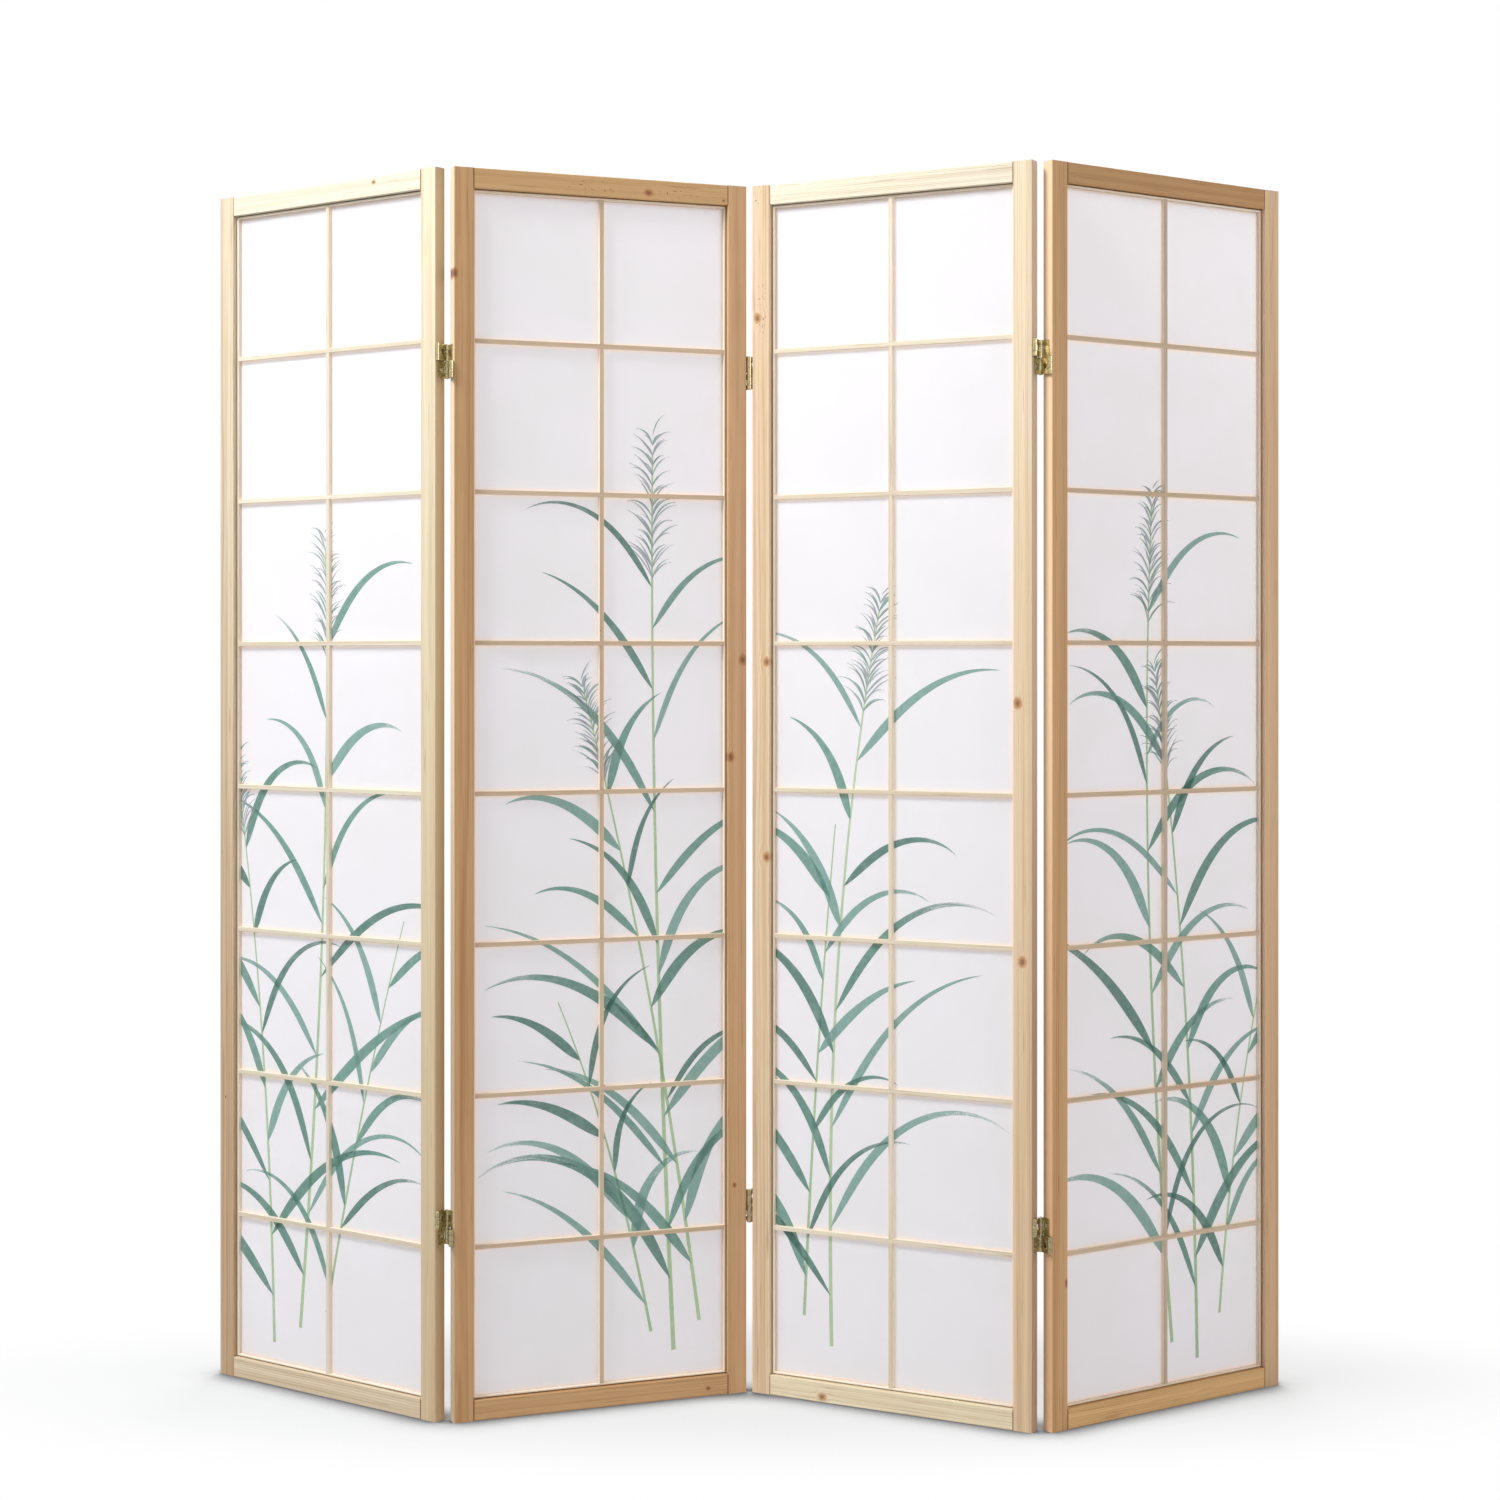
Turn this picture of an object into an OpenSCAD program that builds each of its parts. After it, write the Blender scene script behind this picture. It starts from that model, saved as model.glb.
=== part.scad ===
// Folding screen of four paper panels in softwood frames, joined by hinges that fold either way.
// Millimetres, +Z up. The screen stands on z = 0, centred, and is looked at along +Y.
// The panels are numbered 1 to 4 from the left. A panel's own frame has x along its width from the
// left end, y from its front face to its back face, and z up.

/* [Panels] */
// Height of a panel
panel_h = 1780; // [1400:10:2000]
// Width of a panel
panel_w = 445; // [380:5:600]
// Thickness of a panel's frame
panel_t = 19; // [18:0.5:25]
// Radius to which the long edges of the frame are eased
edge_r = 1.2; // [0.6:0.2:2]

/* [Frame] */
// Face width of the upright stiles
stile_w = 29; // [25:1:45]
// Height of the top rail
top_rail_h = 29; // [28:1:60]
// Height of the bottom rail
bottom_rail_h = 29; // [28:1:90]
// Diameter of the dowels that join the rails to the stiles
dowel_d = 6; // [5:0.5:7]
// Length of a dowel, half of it in the stile
dowel_len = 30; // [20:1:40]
// How much wider a dowel's hole is than the dowel
dowel_fit = 0.1; // [0.05:0.05:0.3]
// Depth left for glue beyond each end of a dowel
glue_room = 1; // [0.5:0.5:2]
// Distance between the two dowels of a joint
dowel_spacing = 14; // [11:1:16]

/* [Lattice] */
// Number of cells side by side
columns = 2; // [2:1:4]
// Number of cells one above another
rows = 8; // [4:1:10]
// Width of a lattice bar, seen from the front
bar_w = 6.5; // [5:0.5:12]
// Thickness of a lattice bar, front to back
bar_t = 6; // [5:0.5:7]
// Width of the thin strips round the lattice
border_w = 2.5; // [2:0.5:8]
// Shadow gap between those strips and the frame
shadow_gap = 1.5; // [0.5:0.1:3]
// How deep the lattice lies behind the front face of the frame
lattice_recess = 6.5; // [3:0.5:7]
// Chamfer on the two front edges of a bar
bar_chamfer = 0.5; // [0.2:0.1:0.8]
// Glue line where two bars or two beads meet
glue_line = 0.05; // [0.03:0.01:0.2]

/* [Paper] */
// Width of the rebate round the back of the opening, which the paper and its beads lie in
rebate_lap = 4; // [3:0.5:4]
// Thickness of the paper
paper_t = 0.5; // [0.3:0.1:1]
// Gap between the edge of the paper and the rebate that it lies in
paper_margin = 0.6; // [0.2:0.2:2]
// Face width of the beads that hold the paper from behind
bead_w = 8; // [6:0.5:14]
// How deep the beads lie inside the back face of the frame
bead_inset = 1; // [0.5:0.5:1.5]

/* [Hinges] */
// Distance of a hinge's middle from the top or bottom of the panel
hinge_inset = 275; // [120:5:400]
// Height of a hinge
hinge_h = 48; // [42:1:70]
// Thickness of the leaf that is screwed to a stile
leaf_t = 1.4; // [1:0.1:1.8]
// Thickness of the link plate that joins two leaves
link_t = 1.4; // [1:0.1:1.8]
// Outer diameter of the knuckles
knuckle_d = 7.2; // [6.4:0.2:8]
// Height of the middle knuckle, which belongs to the link
link_knuckle_h = 9; // [6:0.5:11]
// Free space between the pieces of a hinge
knuckle_gap = 0.3; // [0.2:0.05:0.4]
// Space between a knuckle and the stile that it turns past
end_clearance = 0.7; // [0.6:0.05:1]
// How far the pins lie outside the faces of the frame
pin_out = 0.75; // [0.5:0.05:1.2]
// Diameter of a hinge pin
pin_d = 3; // [2.5:0.1:3.6]
// Gap all round a pin in a knuckle
pin_clearance = 0.05; // [0.03:0.01:0.1]
// Diameter of the round end that keeps a pin in
pin_head_d = 5; // [4.2:0.1:6]
// Height of that round end
pin_head_h = 0.9; // [0.5:0.1:1.5]
// Distance between a leaf's far edge and the face that it stops short of
leaf_setback = 5.6; // [5:0.1:7]

/* [Screws] */
// Diameter of a screw's shank
screw_d = 3; // [2.5:0.1:3.5]
// Diameter of a screw's countersunk head
screw_head_d = 6; // [5.5:0.1:6.4]
// Length of a screw
screw_len = 16; // [12:1:20]
// Distance between the two screws of a leaf
screw_spacing = 26; // [24:1:30]
// How far each screw lies from the middle of the panel's thickness
screw_offset = 1.5; // [0:0.1:1.8]
// Gap all round a screw in the leaf and in the wood
screw_clearance = 0.1; // [0.05:0.05:0.2]
// Diameter of the hole in the link through which a screw is reached
access_d = 8; // [7:0.1:8.6]

/* [Standing position] */
// Angle of panel 2 to the plane of the picture, in degrees
angle_2 = 21.5; // [5:0.5:40]
// Degrees of fold between panels 1 and 2, from flat to back against back
fold_angle_12 = 58; // [0:1:180]
// Degrees of fold between panels 2 and 3, from flat to front against front
fold_angle_23 = 50; // [0:1:175]
// Degrees of fold between panels 3 and 4, from flat to back against back
fold_angle_34 = 63; // [0:1:180]

/* [Hidden] */
$fn = 48;
small = 0.01;
over_cut = 1;

panels = [1:4];
junctions = [1:3];
panel_pieces = ["left_stile", "right_stile", "top_rail", "bottom_rail", "lattice_border",
                "lattice_bars", "paper", "back_beads", "dowels"];
hinge_pieces = ["left_leaves", "right_leaves", "upper_links", "lower_links",
                "left_pins", "right_pins", "left_screws", "right_screws"];

// The opening in the frame, the rebate round its back, and the depths of what is laid there
open_w = panel_w - 2 * stile_w;
open_h = panel_h - top_rail_h - bottom_rail_h;
open_top = panel_h - top_rail_h;
rebate_x = stile_w - rebate_lap;
rebate_z = bottom_rail_h - rebate_lap;
rebate_w = open_w + 2 * rebate_lap;
rebate_h = open_h + 2 * rebate_lap;
bars_back = lattice_recess + bar_t;
paper_back = bars_back + paper_t;
bead_t = panel_t - bead_inset - paper_back;

// The lattice stands free of the frame all round, and its bars divide the field evenly that
// its border strips enclose
lattice_x = stile_w + shadow_gap;
lattice_z = bottom_rail_h + shadow_gap;
lattice_w = open_w - 2 * shadow_gap;
lattice_h = open_h - 2 * shadow_gap;
field_x = lattice_x + border_w;
field_z = lattice_z + border_w;
field_w = lattice_w - 2 * border_w;
field_h = lattice_h - 2 * border_w;
cell_w = (field_w - (columns - 1) * bar_w) / columns;
cell_h = (field_h - (rows - 1) * bar_w) / rows;

// The hinge's pins, measured from the end face of a stile and from the face of the frame
knuckle_r = knuckle_d / 2;
pin_in = knuckle_r + end_clearance;
pin_bore_r = pin_d / 2 + pin_clearance;
half_h = hinge_h / 2 - knuckle_gap;
leaf_knuckle_h = (half_h - link_knuckle_h - 2 * knuckle_gap) / 2;
leaf_edge = sqrt(pow(knuckle_r + knuckle_gap, 2) - pow(pin_in - leaf_t, 2)) - pin_out;
leaf_neck_t = knuckle_r + knuckle_gap / 2 - leaf_edge - pin_out;
link_edge = knuckle_r + 2 * knuckle_gap - pin_out;
screw_v = panel_t / 2 - screw_offset;
screw_hole_r = screw_d / 2 + screw_clearance;
land_t = 0.1;
screw_head_h = leaf_t - land_t;
hinge_heights = [hinge_inset, panel_h - hinge_inset];

// Turn of each panel about the vertical, with its right end away from the viewer
yaw = [undef, angle_2 - fold_angle_12, angle_2, angle_2 - fold_angle_23,
       angle_2 - fold_angle_23 + fold_angle_34];

function turned(p, a) = [p.x * cos(a) - p.y * sin(a), p.x * sin(a) + p.y * cos(a)];

// Pin lines in a panel's own frame: at its left or right end, outside its front or back face
left_front = [-pin_in, -pin_out];
left_back = [-pin_in, panel_t + pin_out];
right_front = [panel_w + pin_in, -pin_out];
right_back = [panel_w + pin_in, panel_t + pin_out];

// Panels 2 and 3 turn about their front pins, the outer ones about their back pins.
// The front pins between 2 and 3 are the point that the layout starts from.
origin_2 = -turned(right_front, yaw[2]);
origin_3 = -turned(left_front, yaw[3]);
pins_12 = origin_2 + turned(left_back, yaw[2]);
pins_34 = origin_3 + turned(right_back, yaw[3]);
origin_1 = pins_12 - turned(right_back, yaw[1]);
origin_4 = pins_34 - turned(left_back, yaw[4]);
origins = [undef, origin_1, origin_2, origin_3, origin_4];

// The plan of the screen is bounded by the frames' rounded corners and the knuckles, all circles
frame_corners = [for (x = [edge_r, panel_w - edge_r]) for (y = [edge_r, panel_t - edge_r]) [x, y]];
corner_circles = [for (i = panels) for (p = frame_corners) concat(origins[i] + turned(p, yaw[i]), edge_r)];
left_knuckle_circles = [for (i = [2:4]) for (p = [left_front, left_back])
                        concat(origins[i] + turned(p, yaw[i]), knuckle_r)];
right_knuckle_circles = [for (i = [1:3]) for (p = [right_front, right_back])
                         concat(origins[i] + turned(p, yaw[i]), knuckle_r)];
plan_circles = concat(corner_circles, left_knuckle_circles, right_knuckle_circles);
plan_low = [for (k = [0, 1]) min([for (c = plan_circles) c[k] - c[2]])];
plan_high = [for (k = [0, 1]) max([for (c = plan_circles) c[k] + c[2]])];
plan_middle = (plan_low + plan_high) / 2;

// Puts what is drawn in panel i's own frame where the panel stands
module in_panel(i) {
    translate([origins[i].x - plan_middle.x, origins[i].y - plan_middle.y, 0])
        rotate([0, 0, yaw[i]])
            children();
}

// Outline of a frame member, with its four long edges eased
module eased(w, d) {
    translate([edge_r, 0])
        square([w - 2 * edge_r, d]);
    translate([0, edge_r])
        square([w, d - 2 * edge_r]);
    for (x = [edge_r, w - edge_r])
        for (y = [edge_r, d - edge_r])
            translate([x, y])
                circle(r = edge_r);
}

// Outline of a lattice bar of width w, with its two front edges chamfered
module bar_outline(w) {
    polygon([[bar_chamfer, 0], [w - bar_chamfer, 0], [w, bar_chamfer],
             [w, bar_t], [0, bar_t], [0, bar_chamfer]]);
}

// Height of the middle of each rail's full thickness, and of the dowels that hold it
rail_middles = [rebate_z / 2, (rebate_z + rebate_h + panel_h) / 2];
dowel_heights = [for (m = rail_middles) for (s = [-1, 1]) m + s * dowel_spacing / 2];

// Blind holes for the dowels, half in the stile and half in the rail, with room for glue
module dowel_holes() {
    for (x = [stile_w, panel_w - stile_w])
        for (z = dowel_heights)
            translate([x - dowel_len / 2 - glue_room, panel_t / 2, z])
                rotate([0, 90, 0])
                    cylinder(d = dowel_d + dowel_fit, h = dowel_len + 2 * glue_room);
}

// Pilot holes for the hinge screws, in the end face that the hinges are on
module left_screw_holes() {
    for (z = hinge_heights)
        translate([0, 0, z])
            on_left_end()
                screw_places()
                    pilot_hole();
}

module right_screw_holes() {
    for (z = hinge_heights)
        translate([0, 0, z])
            on_right_end()
                screw_places()
                    pilot_hole();
}

module pilot_hole() {
    translate([-screw_len, 0, 0])
        rotate([0, 90, 0])
            cylinder(r = screw_hole_r, h = screw_len + over_cut);
}

// Rebate for the paper and the beads, cut round the back of the opening
module rebate() {
    translate([rebate_x, bars_back, rebate_z])
        cube([rebate_w, panel_t, rebate_h]);
}

// Upright at a panel's left end, with its dowel holes and, on panels 2 to 4, its screw holes
module left_stile(i) {
    color("navajowhite")
        in_panel(i)
            difference() {
                linear_extrude(panel_h)
                    eased(stile_w, panel_t);
                rebate();
                dowel_holes();
                if (i > 1)
                    left_screw_holes();
            }
}

// Upright at a panel's right end, with its dowel holes and, on panels 1 to 3, its screw holes
module right_stile(i) {
    color("navajowhite")
        in_panel(i)
            difference() {
                translate([panel_w - stile_w, 0, 0])
                    linear_extrude(panel_h)
                        eased(stile_w, panel_t);
                rebate();
                dowel_holes();
                if (i < 4)
                    right_screw_holes();
            }
}

// A rail between the stiles, from height z up. Its outline is its cross-section.
module rail(z, h) {
    difference() {
        translate([stile_w, 0, z])
            rotate([90, 0, 90])
                linear_extrude(open_w)
                    eased(panel_t, h);
        rebate();
        dowel_holes();
    }
}

module top_rail(i) {
    color("burlywood")
        in_panel(i)
            rail(open_top, top_rail_h);
}

module bottom_rail(i) {
    color("burlywood")
        in_panel(i)
            rail(0, bottom_rail_h);
}

// A bar of width w that stands upright, its left side at x, from z over a length
module upright_bar(x, z, length, w) {
    translate([x, lattice_recess, z])
        linear_extrude(length)
            bar_outline(w);
}

// A bar of width w that lies level, its lower side at z, from x over a length
module level_bar(x, z, length, w) {
    translate([x + length, lattice_recess, z])
        rotate([0, -90, 0])
            linear_extrude(length)
                bar_outline(w);
}

// Four thin strips round the lattice: the side ones run through
module lattice_border(i) {
    color("wheat")
        in_panel(i) {
            for (x = [lattice_x, lattice_x + lattice_w - border_w])
                upright_bar(x, lattice_z, lattice_h, border_w);
            for (z = [lattice_z, lattice_z + lattice_h - border_w])
                level_bar(field_x + glue_line, z, field_w - 2 * glue_line, border_w);
        }
}

// Places of the mullions and cross bars
mullion_x = [for (k = [1:columns - 1]) field_x + k * cell_w + (k - 1) * bar_w];
cross_z = [for (k = [1:rows - 1]) field_z + k * cell_h + (k - 1) * bar_w];

// Depth to which each bar is cut away where two of them cross
lap_t = (bar_t + glue_line) / 2;

// Mullions and cross bars, halved into each other where they cross: the mullion is cut away
// in front, and the cross bar behind
module lattice_bars(i) {
    color("wheat")
        in_panel(i) {
            for (x = mullion_x)
                difference() {
                    upright_bar(x, field_z, field_h, bar_w);
                    for (z = cross_z)
                        translate([x - small, lattice_recess - small, z - glue_line])
                            cube([bar_w + 2 * small, lap_t + small, bar_w + 2 * glue_line]);
                }
            for (z = cross_z)
                difference() {
                    level_bar(field_x, z, field_w, bar_w);
                    for (x = mullion_x)
                        translate([x - glue_line, bars_back - lap_t, z - small])
                            cube([bar_w + 2 * glue_line, lap_t + small, bar_w + 2 * small]);
                }
        }
}

// One sheet of paper, glued to the back of the lattice, with its edges in the rebate
module paper(i) {
    color("ghostwhite")
        in_panel(i)
            translate([rebate_x + paper_margin, bars_back, rebate_z + paper_margin])
                cube([rebate_w - 2 * paper_margin, paper_t, rebate_h - 2 * paper_margin]);
}

// Four beads that hold the paper from behind: the side ones run through
module back_beads(i) {
    color("tan")
        in_panel(i) {
            for (x = [rebate_x, rebate_x + rebate_w - bead_w])
                translate([x, paper_back, rebate_z])
                    cube([bead_w, bead_t, rebate_h]);
            for (z = [rebate_z, rebate_z + rebate_h - bead_w])
                translate([rebate_x + bead_w + glue_line, paper_back, z])
                    cube([rebate_w - 2 * bead_w - 2 * glue_line, bead_t, bead_w]);
        }
}

// Eight dowels, two to a joint, with chamfered ends
module dowels(i) {
    chamfer = 0.8;
    color("peru")
        in_panel(i)
            for (x = [stile_w, panel_w - stile_w])
                for (z = dowel_heights)
                    translate([x - dowel_len / 2, panel_t / 2, z])
                        rotate([0, 90, 0]) {
                            cylinder(d1 = dowel_d - 2 * chamfer, d2 = dowel_d, h = chamfer);
                            translate([0, 0, chamfer])
                                cylinder(d = dowel_d, h = dowel_len - 2 * chamfer);
                            translate([0, 0, dowel_len - chamfer])
                                cylinder(d1 = dowel_d, d2 = dowel_d - 2 * chamfer, h = chamfer);
                        }
}

// The hinge has two halves, one above the other. In the upper half the left leaf has its
// knuckles in front and the right leaf has them behind. In the lower half it is the other way
// round, and a link joins front pin and back pin in each half. All four pins are then on two
// lines, and the screen folds about either.

// A hinge piece is drawn from the end face of the left panel, with x out of the end face, y from
// front to back, and z from the hinge's middle. These put it on a panel's right or left end.
module on_right_end() {
    translate([panel_w, 0, 0])
        children();
}

module on_left_end() {
    translate([0, panel_t, 0])
        rotate([0, 0, 180])
            children();
}

// Draws the upper half, and again turned over as the lower half
module both_halves() {
    children();
    translate([0, panel_t, 0])
        rotate([180, 0, 0])
            children();
}

module at_hinges() {
    for (z = hinge_heights)
        translate([0, 0, z])
            children();
}

module screw_places() {
    both_halves()
        translate([0, screw_v, screw_spacing / 2])
            children();
}

// Lower ends of the two leaf knuckles in the upper half, with the link's knuckle between them
leaf_knuckle_z = [knuckle_gap, hinge_h / 2 - leaf_knuckle_h];
link_knuckle_z = 2 * knuckle_gap + leaf_knuckle_h;

// Leaf: one plate in the shape of a stepped Z, screwed to the end of a stile, with two knuckles
// on each half
module leaf() {
    difference() {
        union() {
            both_halves() {
                translate([0, leaf_edge, 0])
                    cube([leaf_t, panel_t - leaf_setback - leaf_edge, hinge_h / 2]);
                for (z = leaf_knuckle_z)
                    translate([0, 0, z]) {
                        translate([0, leaf_edge, 0])
                            cube([pin_in, leaf_neck_t, leaf_knuckle_h]);
                        translate([pin_in, -pin_out, 0])
                            cylinder(r = knuckle_r, h = leaf_knuckle_h);
                    }
            }
        }
        both_halves()
            translate([pin_in, -pin_out, 0])
                cylinder(r = pin_bore_r, h = hinge_h / 2 + over_cut);
        screw_places()
            countersunk_hole();
    }
}

module countersunk_hole() {
    rotate([0, 90, 0]) {
        translate([0, 0, -over_cut])
            cylinder(r = screw_hole_r, h = leaf_t + 2 * over_cut);
        translate([0, 0, leaf_t - screw_head_h])
            cylinder(r1 = screw_hole_r, r2 = screw_head_d / 2 + screw_clearance, h = screw_head_h + small);
    }
}

// Link of the upper half: a plate from the front pin to the back pin, with a knuckle at each,
// notched round the leaves' knuckles, and a hole through which the screw behind it is reached
module link() {
    difference() {
        union() {
            translate([pin_in - link_t / 2, link_edge, knuckle_gap])
                cube([link_t, panel_t - 2 * link_edge, half_h]);
            translate([pin_in - link_t / 2, -pin_out, link_knuckle_z])
                cube([link_t, panel_t + 2 * pin_out, link_knuckle_h]);
            for (y = [-pin_out, panel_t + pin_out])
                translate([pin_in, y, link_knuckle_z])
                    cylinder(r = knuckle_r, h = link_knuckle_h);
        }
        for (y = [-pin_out, panel_t + pin_out])
            translate([pin_in, y, 0])
                cylinder(r = pin_bore_r, h = hinge_h / 2 + over_cut);
        translate([0, panel_t / 2, screw_spacing / 2])
            rotate([0, 90, 0])
                cylinder(d = access_d, h = 2 * pin_in);
    }
}

// Pin with a tapered head at its outer end
module pin() {
    head_top_d = 3;
    translate([pin_in, -pin_out, 0]) {
        translate([0, 0, knuckle_gap])
            cylinder(d = pin_d, h = half_h);
        translate([0, 0, hinge_h / 2])
            cylinder(d1 = pin_head_d, d2 = head_top_d, h = pin_head_h);
    }
}

// Countersunk wood screw with a crossed recess
module screw() {
    tip_len = 4;
    tip_d = 0.6;
    slot_w = 0.8;
    slot_len = 3.3;
    slot_depth = 0.7;
    rotate([0, 90, 0])
        difference() {
            union() {
                translate([0, 0, leaf_t - screw_head_h])
                    cylinder(d1 = screw_d, d2 = screw_head_d, h = screw_head_h);
                translate([0, 0, leaf_t - screw_len + tip_len])
                    cylinder(d = screw_d, h = screw_len - tip_len - screw_head_h);
                translate([0, 0, leaf_t - screw_len])
                    cylinder(d1 = tip_d, d2 = screw_d, h = tip_len);
            }
            for (a = [0, 90])
                rotate([0, 0, a])
                    translate([-slot_len / 2, -slot_w / 2, leaf_t - slot_depth])
                        cube([slot_len, slot_w, slot_depth + over_cut]);
        }
}

module left_leaves(j) {
    color("darkgoldenrod")
        in_panel(j)
            at_hinges()
                on_right_end()
                    leaf();
}

module right_leaves(j) {
    color("darkgoldenrod")
        in_panel(j + 1)
            at_hinges()
                on_left_end()
                    leaf();
}

// About the back pins the upper link keeps to the left panel, and about the front pins to the
// right one. The lower link does the opposite.
module upper_links(j) {
    color("goldenrod")
        if (j == 2)
            in_panel(j + 1)
                at_hinges()
                    on_left_end()
                        link();
        else
            in_panel(j)
                at_hinges()
                    on_right_end()
                        link();
}

module lower_links(j) {
    color("goldenrod")
        if (j == 2)
            in_panel(j)
                at_hinges()
                    on_right_end()
                        mirror([0, 0, 1])
                            link();
        else
            in_panel(j + 1)
                at_hinges()
                    on_left_end()
                        mirror([0, 0, 1])
                            link();
}

module left_pins(j) {
    color("gold")
        in_panel(j)
            at_hinges()
                on_right_end()
                    both_halves()
                        pin();
}

module right_pins(j) {
    color("gold")
        in_panel(j + 1)
            at_hinges()
                on_left_end()
                    both_halves()
                        pin();
}

module left_screws(j) {
    color("khaki")
        in_panel(j)
            at_hinges()
                on_right_end()
                    screw_places()
                        screw();
}

module right_screws(j) {
    color("khaki")
        in_panel(j + 1)
            at_hinges()
                on_left_end()
                    screw_places()
                        screw();
}

for (i = panels) {
    left_stile(i);
    right_stile(i);
    top_rail(i);
    bottom_rail(i);
    lattice_border(i);
    lattice_bars(i);
    paper(i);
    back_beads(i);
    dowels(i);
}

for (j = junctions) {
    left_leaves(j);
    right_leaves(j);
    upper_links(j);
    lower_links(j);
    left_pins(j);
    right_pins(j);
    left_screws(j);
    right_screws(j);
}
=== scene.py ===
import math
import random

import bmesh
import bpy
from mathutils import Matrix, Vector


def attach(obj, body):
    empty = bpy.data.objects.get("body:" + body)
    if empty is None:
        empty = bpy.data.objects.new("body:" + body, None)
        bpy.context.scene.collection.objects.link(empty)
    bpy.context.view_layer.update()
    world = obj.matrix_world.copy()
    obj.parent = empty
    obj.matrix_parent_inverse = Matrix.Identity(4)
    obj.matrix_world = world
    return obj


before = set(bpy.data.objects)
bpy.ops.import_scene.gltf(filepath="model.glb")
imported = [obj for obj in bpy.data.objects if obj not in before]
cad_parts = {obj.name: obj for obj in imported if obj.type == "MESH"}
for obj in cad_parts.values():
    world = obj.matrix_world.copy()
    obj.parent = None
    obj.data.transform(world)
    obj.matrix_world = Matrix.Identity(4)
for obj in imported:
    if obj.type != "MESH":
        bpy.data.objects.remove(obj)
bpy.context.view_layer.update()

# The screen is looked at level, from the height of a standing person's chest, at about four metres
# through a short telephoto lens.
lens = bpy.data.cameras.new("viewer")
lens.lens = 64.03
lens.sensor_width = 36.0
lens.shift_y = -0.0576
viewer = bpy.data.objects.new("viewer", lens)
viewer.location = (0.0072, -3.8905, 1.0756)
viewer.rotation_euler = (math.radians(90), 0, 0)
bpy.context.scene.collection.objects.link(viewer)
bpy.context.scene.camera = viewer
bpy.context.scene.view_settings.view_transform = "Standard"


# The studio: a white paper floor that runs back into white, a large soft lamp from the upper left,
# a weaker one from the right, another from behind that lights the screen's paper through, and
# pale walls all round.
def add_node(tree, kind, inputs=None, **settings):
    """Adds a shader node. An input is given a value, or the output that feeds it."""
    node = tree.nodes.new("ShaderNode" + kind)
    for name, value in settings.items():
        setattr(node, name, value)
    for name, value in (inputs or {}).items():
        if isinstance(value, bpy.types.NodeSocket):
            tree.links.new(value, node.inputs[name])
        else:
            node.inputs[name].default_value = value
    return node


def reckon(tree, operation, *terms):
    """The result of a step of arithmetic on numbers or on other nodes' results."""
    return add_node(tree, "Math", dict(enumerate(terms)), operation=operation).outputs[0]


def ramp(tree, value, low, high, at_low=0.0, at_high=1.0):
    """Turns a value between low and high smoothly into one between at_low and at_high."""
    return add_node(tree, "MapRange", {"Value": value, "From Min": low, "From Max": high,
                                       "To Min": at_low, "To Max": at_high},
                    interpolation_type="SMOOTHSTEP").outputs[0]


def blend_colours(tree, share, first, second, how="MIX"):
    """Mixes two colours, each a value or another node's colour."""
    node = add_node(tree, "Mix", data_type="RGBA", blend_type=how)
    for place, value in ((0, share), (6, first), (7, second)):
        if isinstance(value, bpy.types.NodeSocket):
            tree.links.new(value, node.inputs[place])
        elif place:
            node.inputs[place].default_value = (*value, 1)
        else:
            node.inputs[place].default_value = value
    return node.outputs[2]


def new_material(name):
    """An empty material, with the end that its shader is joined to."""
    material = bpy.data.materials.new(name)
    material.use_nodes = True
    material.node_tree.nodes.clear()
    return material, material.node_tree, add_node(material.node_tree, "OutputMaterial")


floor_radius, shadow_reach = 14, 0.075
floor_mesh = bmesh.new()
bmesh.ops.create_circle(floor_mesh, cap_ends=True, segments=96, radius=floor_radius)
floor_data = bpy.data.meshes.new("floor")
floor_mesh.to_mesh(floor_data)
floor = bpy.data.objects.new("floor", floor_data)
bpy.context.scene.collection.objects.link(floor)

floor_paper, tree, end = new_material("floor_paper")
place = add_node(tree, "TexCoord").outputs["Object"]
narrowed = add_node(tree, "VectorMath", {0: place, 1: (0.35, 1, 0)}, operation="MULTIPLY").outputs[0]
away = add_node(tree, "VectorMath", {0: narrowed, 1: (0, 0.1, 0)}, operation="DISTANCE").outputs["Value"]
looked_at = add_node(tree, "LightPath").outputs["Is Camera Ray"]
not_looked_at = reckon(tree, "SUBTRACT", 1, looked_at)
glow_share = reckon(tree, "MULTIPLY", ramp(tree, away, 0.15, 0.50, 0.55, 1.0), looked_at)
# Close under the rails the floor gets less light, which draws a thin soft shadow round their feet
opening = add_node(tree, "AmbientOcclusion", {"Distance": shadow_reach}, samples=8).outputs["AO"]
unshaded = reckon(tree, "MAXIMUM", ramp(tree, opening, 0.46, 0.97), not_looked_at)
matt_colour = blend_colours(tree, unshaded, (0.12, 0.125, 0.13), (0.63, 0.64, 0.65))
matt = add_node(tree, "BsdfDiffuse", {"Color": matt_colour})
glow_colour = blend_colours(tree, unshaded, (0.18, 0.185, 0.19), (1, 1, 1))
glow = add_node(tree, "Emission", {"Color": glow_colour})
shown = add_node(tree, "MixShader", {0: glow_share, 1: matt.outputs[0], 2: glow.outputs[0]})
tree.links.new(shown.outputs[0], end.inputs["Surface"])
floor_data.materials.append(floor_paper)

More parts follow.
